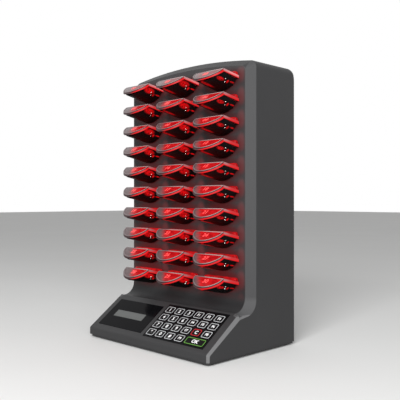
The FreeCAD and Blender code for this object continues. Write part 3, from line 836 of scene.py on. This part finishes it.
def cover_form():
    """The lid with its crown."""
    form = bmesh.new()
    pager_outline(form, ring_wide + cover_gap)
    raise_to_roof(form)
    thicken(form, lambda y: cover_wall)
    soften_top(form)
    join_in(form, crown_bar())
    bmesh.ops.recalc_face_normals(form, faces=form.faces[:])
    return form


def in_pager(tree):
    """Object coordinates as seen from the middle of the nearest pager's ridge."""
    at = node(tree, "SeparateXYZ", Vector=places(tree)).outputs
    across = near_share(tree, at["X"], 0.0, pager_pitch_x, 1.0)
    along = reckon(tree, "SUBTRACT", at["Y"], ridge_y)
    down = reckon(tree, "SUBTRACT", at["Z"], ridge_high + over_ridge)
    down = reckon(tree, "ADD", reckon(tree, "WRAP", down, 0.0, -pager_pitch_z), over_ridge)
    return across, along, down


def towards_right(tree, across, along):
    """How far a place lies to the rear right, which is the side that the red shows through. It
    shows through a little further in the columns to the right."""
    column = node(tree, "SeparateXYZ", Vector=places(tree)).outputs["X"]
    place = reckon(tree, "MULTIPLY", reckon(tree, "ADD", across, along), math.sqrt(0.5))
    return reckon(tree, "MULTIPLY_ADD", column, column_shift, place)


def painted_top_reflection(tree):
    """1 on the top row of pagers, which have a painted reflection, paler and less red, and 0
    elsewhere.
    """
    height = node(tree, "SeparateXYZ", Vector=places(tree)).outputs["Z"]
    return eased(tree, height, *top_row_edge)


smoky_red, tree, skin = material("smoky_red", Roughness=0.25, Specular_IOR_Level=0.12)
across, along, down = in_pager(tree)
# On the top row a painted reflection of the white surround makes the lid paler and less red.
top_reflection = painted_top_reflection(tree)
cloud = noise(tree, cloud_scale)
smoke = blended(tree, cloud, tone(88, 74, 75), tone(110, 92, 93))
reflected_smoke = blended(tree, cloud, tone(98, 85, 86), tone(117, 102, 103))
smoke = blended(tree, top_reflection, smoke, reflected_smoke)
to_right = reckon(tree, "MULTIPLY_ADD", cloud, cloud_reach, towards_right(tree, across, along))
unreflected_red = reckon(tree, "MULTIPLY_ADD", top_reflection, red_under_reflection - 1, 1.0)
on_crown = eased(tree, along, *crown_edge)
red_share = product(tree, eased(tree, to_right, *red_edge), unreflected_red)
red_share = reckon(tree, "MAXIMUM", red_share, on_crown)
fill(tree, skin.inputs["Base Color"], blended(tree, red_share, smoke, tone(58, 8, 10)))
streaks = node(
    tree, "Mapping", {"vector_type": "TEXTURE"}, Vector=places(tree), Scale=(streak_long, 1.0, 1.0))
streaks = node(
    tree, "TexNoise", Vector=streaks.outputs["Vector"], Scale=streak_scale, Detail=2.0)
streaks = eased(tree, streaks.outputs["Fac"], *streak_edge)
glow = blended(tree, streaks, tone(160, 8, 14), tone(214, 22, 26))
crown_glow = blended(tree, streaks, tone(132, 4, 8), tone(200, 10, 14))
glow = blended(tree, on_crown, glow, crown_glow)
light_up(tree, skin, blended(tree, red_share, black, glow))

# Pager light ring: a band of red diffusing plastic, lit from inside. Its top is painted a dark
# smoky grey. The lip of its side is nearly dark in front and half lit at the rear. The band
# below it shines, but for the nose and the lowest edge at the rear, which is painted shade. On
# the top row of pagers its top and lip are paler with a painted reflection.
smoky_upward = 0.45
rear_edge = (-1.5 * mm, 0.5 * mm)
front_lip_edge = (0.9 * mm, 1.5 * mm)
rear_lip_edge = (1.8 * mm, 3.8 * mm)
rear_shade_edge = (3.8 * mm, 4.4 * mm)
shine_edge = (-15 * mm, -3 * mm)
left_end_edge = (-24 * mm, -26 * mm)
lip_edge = (0.0, 14 * mm)
dull_edge = (-18 * mm, -8 * mm)


def band(y):
    """Height of the light ring's side there."""
    return band_high if y > 0 else band_high + y * (band_high - band_nose) / nose_run


def only_rim(mesh, wide):
    """Leaves only a rim that wide of the faces."""
    inner = mesh.faces[:]
    bmesh.ops.inset_region(
        mesh, faces=inner, thickness=wide, use_boundary=True, use_even_offset=True)
    bmesh.ops.delete(mesh, geom=inner, context="FACES")


def ring_form():
    """The ring, its top in the second of its two finishes."""
    form = bmesh.new()
    pager_outline(form, 0)
    only_rim(form, ring_wide)
    raise_to_roof(form)
    thicken(form, band)
    soften_top(form)
    for face in form.faces:
        face.material_index = 1 if face.normal.z > smoky_upward else 0
    return form


ring_red, tree, skin = material("ring_red", Roughness=0.4, Specular_IOR_Level=0.12)
across, along, down = in_pager(tree)
front_roof = reckon(tree, "MULTIPLY", along, face_drop / nose_run)
rear_roof = reckon(tree, "MULTIPLY", along, -rear_drop / rear_run)
under_roof = reckon(tree, "SUBTRACT", reckon(tree, "MINIMUM", front_roof, rear_roof), down)
at_rear = eased(tree, along, *rear_edge)
on_band = blended(
    tree, at_rear, eased(tree, under_roof, *front_lip_edge),
    eased(tree, under_roof, *rear_lip_edge))
# Painted shade on the band's lowest edge at the rear.
painted_rear_shade = product(tree, at_rear, eased(tree, under_roof, *rear_shade_edge))
bright = eased(tree, towards_right(tree, across, along), *shine_edge)
bright = reckon(tree, "MAXIMUM", bright, eased(tree, across, *left_end_edge))
along_lip = eased(tree, along, *lip_edge)
lip_base = blended(tree, along_lip, tone(124, 104, 106), tone(80, 40, 42))
# On the top row the lip is paler: a painted reflection.
lip_base = blended(tree, painted_top_reflection(tree), lip_base, tone(138, 122, 123))
lip_base = blended(tree, at_rear, tone(44, 24, 27), lip_base)
band_base = blended(tree, bright, tone(60, 50, 51), tone(58, 8, 10))
band_base = blended(tree, on_band, lip_base, band_base)
# The lowest rear edge takes the painted shade's dark colour, and no light.
fill(tree, skin.inputs["Base Color"], blended(tree, painted_rear_shade, band_base, tone(14, 12, 12)))
lip_glow = blended(tree, along_lip, tone(104, 14, 18), tone(188, 20, 24))
lip_glow = blended(tree, at_rear, tone(22, 4, 5), lip_glow)
shine = blended(tree, noise(tree, scale=90.0), tone(214, 8, 14), tone(240, 26, 30))
shine = blended(tree, bright, tone(16, 6, 6), shine)
band_glow = blended(tree, on_band, lip_glow, shine)
light_up(tree, skin, blended(tree, painted_rear_shade, band_glow, black))

ring_smoke, tree, skin = material("ring_smoke", Roughness=0.3, Specular_IOR_Level=0.12)
across, along, down = in_pager(tree)
smoke = blended(tree, noise(tree, cloud_scale), tone(90, 78, 79), tone(108, 94, 95))
# On the top row the ring's top is paler: a painted reflection.
smoke = blended(tree, painted_top_reflection(tree), smoke, tone(112, 98, 99))
dull = eased(tree, towards_right(tree, across, along), *dull_edge)
fill(tree, skin.inputs["Base Color"], blended(tree, dull, smoke, tone(72, 38, 41)))

# Pager trim: a thin silver line printed near the edge of the ring's top and along the ridge. It
# has a painted highlight at the front right, and is duller with a painted red reflection
# towards the rear.
trim_inset = 0.5 * mm
trim_wide = 1.2 * mm
trim_proud = 0.1 * mm
trim_deep = 0.2 * mm
highlight_right_edge = (-10 * mm, 4 * mm)
highlight_front_edge = (3 * mm, 0.5 * mm)
red_reflection_edge = (0.0, 12 * mm)


def trim_form():
    """The line, one closed loop on the front face and one on the rear face."""
    form = bmesh.new()
    pager_outline(form, trim_inset)
    inner = form.faces[:]
    bmesh.ops.inset_individual(form, faces=inner, thickness=trim_wide, use_even_offset=True)
    bmesh.ops.delete(form, geom=inner, context="FACES")
    raise_to_roof(form, trim_proud)
    thicken(form, lambda y: trim_deep)
    return form


silver, tree, skin = material("silver", Metallic=0.2, Specular_IOR_Level=0.3)
across, along, down = in_pager(tree)
brushed = noise(tree, scale=1400.0)
# A painted highlight at the front right, and a painted red reflection towards the rear.
silver_highlight = blended(tree, brushed, tone(164, 148, 147), tone(178, 164, 162))
painted_highlight_share = product(
    tree, eased(tree, towards_right(tree, across, along), *highlight_right_edge),
    eased(tree, along, *highlight_front_edge))
dull = blended(tree, eased(tree, along, *red_reflection_edge), tone(120, 108, 109), tone(150, 84, 86))
fill(tree, skin.inputs["Base Color"], blended(tree, painted_highlight_share, dull, silver_highlight))
vary_roughness(tree, skin, brushed, least=0.4, spread=0.2)

# Pager case: the black boat-shaped bottom, which keeps its depth along the slide, and the flat
# tongue that goes into the rack. Its top is cut to the roof's shape under the light ring.
# Painted reflections of the light rings glow faintly red on its right side and keel.
belly_inset = 1.3 * mm
belly_deep = 19.5 * mm
belly_radius = 12.5 * mm
slide_fall = math.tan(math.radians(11))
wall_reach = 26.2 * mm
tongue_half = 19.0 * mm
tongue_high = 7.13 * mm
tongue_long = 21.0 * mm
tongue_drop = 15.2 * mm
tongue_round = 0.5 * mm
tongue_root = 1.5 * mm
# Where the painted red reflections of the light rings lie on the case, and how they fade.
right_side_edge = (8 * mm, 12 * mm)
outer_column_edge = (37 * mm, 38 * mm)
inner_column_edge = (38 * mm, 37 * mm)
keel_column_edge = (-38 * mm, -37 * mm)
keel_edge = (-14 * mm, -15 * mm)
keel_reflection = 0.6
reflection_edge = (1.3, 0.3)
ragged_spread, ragged_least = 1.6, -0.8
speckle_edge = (0.34, 0.6)
speckle_spread, speckle_least = 0.8, 0.25


def belly_half(y):
    """Half the belly's width there."""
    return pager_half + (rear_half - pager_half) * y / rear_run - belly_inset


def belly_part(start, end, cuts):
    """The belly between two places along Y, cut by planes given as a place and a way out."""
    part = bmesh.new()
    for y in (start, end):
        first, last = bow(part, belly_half(y), belly_deep, belly_radius, y)
        part.edges.new((last, first))
        for vert in part.verts:
            if abs(vert.co.y - y) < hair:
                vert.co.z -= y * slide_fall
    bmesh.ops.bridge_loops(part, edges=part.edges[:])
    bmesh.ops.holes_fill(part, edges=part.edges[:])
    for at, out in cuts:
        cut = bmesh.ops.bisect_plane(
            part, geom=part.verts[:] + part.edges[:] + part.faces[:], dist=cut_near,
            plane_co=at, plane_no=out, clear_outer=True,
        )["geom_cut"]
        bmesh.ops.holes_fill(part, edges=only(bmesh.types.BMEdge, cut))
    joint = [f for f in part.faces if all(abs(v.co.y) < hair for v in f.verts)]
    bmesh.ops.delete(part, geom=joint, context="FACES_ONLY")
    return part


def case_form():
    """The belly, joined from its front and rear parts, and the tongue."""
    rim = bmesh.new()
    pager_outline(rim, belly_inset)
    nose_cuts = []
    for edge in rim.edges:
        if edge.is_boundary and max(v.co.y for v in edge.verts) < hair:
            place = edge.verts[0].co.copy()
            outward = (edge.verts[1].co - place).cross(Vector((0, 0, 1)))
            nose_cuts.append((place, outward * math.copysign(1, outward.dot(place))))
    rim.free()
    ridge = Vector((0, 0, -band_high))
    nose_cuts.append((ridge, Vector((0, band_nose - band_high - face_drop, nose_run))))
    rear_cuts = [(ridge, Vector((0, rear_drop, rear_run))),
                 (Vector((0, rear_run - belly_inset, 0)), Vector((0, 1, 0)))]
    form = bmesh.new()
    join_in(form, belly_part(-nose_run, 0, nose_cuts))
    join_in(form, belly_part(0, rear_run, rear_cuts))
    bmesh.ops.remove_doubles(form, verts=form.verts[:], dist=hair)
    tongue = bmesh.ops.create_cube(form, size=1.0)["verts"]
    bmesh.ops.scale(
        form, vec=(2 * tongue_half, tongue_root + tongue_long, tongue_high), verts=tongue)
    bmesh.ops.translate(
        form, vec=(0, wall_reach + (tongue_long - tongue_root) / 2, -tongue_drop), verts=tongue)
    for vert in tongue:
        vert.co.z -= (vert.co.y - wall_reach) * slide_fall
    sides = list({e for v in tongue for e in v.link_edges})
    bmesh.ops.bevel(
        form, geom=sides, offset=tongue_round, segments=3, profile=0.5, affect="EDGES", material=-1)
    bmesh.ops.recalc_face_normals(form, faces=form.faces[:])
    return form


case_black, tree, skin = material("case_black", Specular_IOR_Level=0.06)
across, along, down = in_pager(tree)
smear = noise(tree, scale=120.0)
vary_colour(tree, skin, smear, (10, 9, 9), (18, 15, 16))
vary_roughness(tree, skin, smear, least=0.3, spread=0.2)
speckle = noise(tree, scale=420.0, detail=3.0)
ragged = reckon(tree, "MULTIPLY_ADD", speckle, ragged_spread, ragged_least)
column = node(tree, "SeparateXYZ", Vector=places(tree)).outputs["X"]
right_side = eased(tree, across, *right_side_edge)
outer_column = product(tree, right_side, eased(tree, column, *outer_column_edge))
inner_column = product(tree, right_side, eased(tree, column, *inner_column_edge))
keel = product(
    tree, eased(tree, column, *keel_column_edge), eased(tree, down, *keel_edge), keel_reflection)
painted_reflections = 0.0
# Each painted reflection is two directions, its middle and half its size along them in mm,
# and its share.
for first, second, place, size, share in (
    (along, down, (1.5, -12.2), (6.6, 2.0), outer_column),
    (along, down, (4.5, -9.6), (9.0, 3.9), inner_column),
    (along, down, (14.2, -14.8), (1.9, 1.9), right_side),
    (along, down, (21.0, -15.2), (4.0, 0.8), right_side),
    (across, along, (0.5, -6.0), (3.6, 14.0), keel),
):
    offset = reckon(tree, "SUBTRACT", first, place[0] * mm)
    level = reckon(tree, "SUBTRACT", second, place[1] * mm)
    if second == down:
        level = reckon(tree, "MULTIPLY_ADD", offset, slide_fall, level)
    away = square_sum(
        tree, reckon(tree, "DIVIDE", offset, size[0] * mm),
        reckon(tree, "DIVIDE", level, size[1] * mm))
    painted_reflection = eased(tree, reckon(tree, "ADD", away, ragged), *reflection_edge)
    painted_reflections = reckon(tree, "MAXIMUM", painted_reflections, product(tree, painted_reflection, share))
speckled = eased(tree, speckle, *speckle_edge)
speckled = reckon(tree, "MULTIPLY_ADD", speckled, speckle_spread, speckle_least)
painted_reflections = reckon(tree, "MULTIPLY", painted_reflections, speckled, clamp=True)
# The painted reflections glow red.
light_up(tree, skin, blended(tree, painted_reflections, black, tone(214, 5, 10)))

# Pager contacts: two bright studs low on the right side of the case, and two gold pads at the
# tongue's end.
stud_radius = 1.1 * mm
stud_long = 3.0 * mm
stud_proud = 0.5 * mm
stud_dome = 0.4 * mm
stud_places = ((9.0 * mm, 46.0), (11.0 * mm, 37.0))
pad_size = Vector((5.0, 0.4, 3.4)) * mm
pad_side = 8.0 * mm


def studs_form():
    """Two domed studs that stand out square to the belly's side."""
    form = bmesh.new()
    for y, lean in stud_places:
        big = bow_turns(belly_half(y), belly_deep, belly_radius)[0]
        place = (Matrix.Translation((0, y, big - belly_deep - y * slide_fall))
                 @ Matrix.Rotation(math.pi - math.radians(lean), 4, "Y")
                 @ Matrix.Translation((0, 0, big + stud_proud - stud_long / 2)))
        made = bmesh.ops.create_cone(
            form, cap_ends=True, segments=20, radius1=stud_radius, radius2=stud_radius,
            depth=stud_long, matrix=place)["verts"]
        tip = [v for v in made if (place.inverted() @ v.co).z > 0]
        rim = [e for e in {e for v in tip for e in v.link_edges}
               if e.verts[0] in tip and e.verts[1] in tip]
        bmesh.ops.bevel(
            form, geom=rim, offset=stud_dome, segments=3, profile=0.5, affect="EDGES", material=-1)
    return form


def pads_form():
    """Two flat pads on the end face of the tongue."""
    form = bmesh.new()
    end = wall_reach + tongue_long
    for side in (-1, 1):
        centre = Vector((
            side * pad_side, end + pad_size.y / 2, -tongue_drop - tongue_long * slide_fall))
        plate(form, centre - pad_size / 2, centre + pad_size / 2, Matrix.Identity(4))
    return form


stud_steel = brushed_metal(
    "stud_steel", (212, 210, 204), (230, 228, 222), scale=2500.0, rough=0.15)
pad_gold = brushed_metal("pad_gold", (214, 176, 92), (230, 194, 110), scale=2500.0, rough=0.2)

# Pager number: two digits printed in red on the front face, with light behind them.
number_size = 9.2 * mm
number_high = 0.1 * mm
number_y = -7.2 * mm
number_glow = 0.8
face_lean = math.atan2(face_drop, nose_run)
number_red, tree, skin = material("number_red", Roughness=0.45)
worn = noise(tree, scale=500.0)
vary_colour(tree, skin, worn, (190, 60, 62), (206, 72, 74))
light_up(tree, skin, blended(tree, worn, tone(235, 66, 64), tone(248, 80, 78)), number_glow)

# Pagers in the rack: one of each form is built, and each pager gets its own copies and number,
# counted from the top left.
smooth_below = math.radians(35)
forms = (
    ("pager_cover", cover_form(), (smoky_red,)),
    ("pager_ring", ring_form(), (ring_red, ring_smoke)),
    ("pager_trim", trim_form(), (silver,)),
    ("pager_case", case_form(), (case_black,)),
    ("pager_studs", studs_form(), (stud_steel,)),
    ("pager_pads", pads_form(), (pad_gold,)),
)
on_face = Matrix.Translation((0, number_y, roof(number_y))) @ Matrix.Rotation(face_lean, 4, "X")
for number, (low, high) in enumerate(pager_boxes, 1):
    body = "pager_%02d" % number
    place = Matrix.Translation(((low.x + high.x) / 2, ridge_y, high.z))
    made = []
    for name, form, finishes in forms:
        mesh = form.copy()
        bmesh.ops.transform(mesh, matrix=place, verts=mesh.verts[:])
        made.append(new_piece("%s_%02d" % (name, number), mesh, *finishes))
    digits = bmesh.new()
    lettering(digits, "%02d" % number, number_size, number_high, place @ on_face)
    made.append(new_piece("pager_number_%02d" % number, digits, number_red))
    for piece in made:
        piece.data.shade_smooth()
        piece.data.set_sharp_from_angle(angle=smooth_below)
        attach(piece, body)
    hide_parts(body)
for name, form, finishes in forms:
    form.free()
